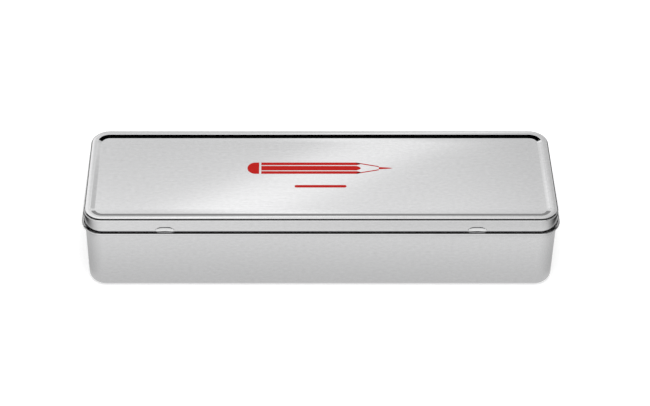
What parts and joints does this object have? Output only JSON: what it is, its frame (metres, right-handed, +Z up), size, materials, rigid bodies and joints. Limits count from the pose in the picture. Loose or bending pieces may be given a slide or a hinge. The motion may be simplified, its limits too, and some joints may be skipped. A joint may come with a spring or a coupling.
{
  "type": "pencil tin",
  "caption": "Long rounded tin of brushed sheet metal with a hinged lid: sunk top panel, rolled lower edge, snap dimples in the front skirt and a necked body.",
  "frame": {"origin": "middle of the tin's footprint, at the surface it stands on", "axes": "+X along the tin, to the right seen from its front; +Y from the front with the snap dimples to the back with the hinges; +Z up"},
  "size_m": [0.2, 0.0608, 0.0381],
  "materials": {
    "tinplate_body": "satin, brushed along the length",
    "tinplate_lid": "satin, brushed along the length",
    "hinge_strip": "plain rolled tinplate",
    "hinge_wire": "drawn wire",
    "red_ink": "printed ink, satin"
  },
  "bodies": {
    "tin_body": {"body": "tinplate_body", "hinge_strap_left": "hinge_strip", "hinge_strap_right": "hinge_strip"},
    "tin_lid": {"lid": "tinplate_lid", "hinge_pin_left": "hinge_wire", "hinge_pin_right": "hinge_wire"}
  },
  "joints": [
    {"name": "lid_hinge", "type": "hinge", "parent": "tin_body", "child": "tin_lid", "pos_m": [0, 0.0297, 0.03085], "axis": [-1, 0, 0], "range_deg": [0, 180]}
  ]
}
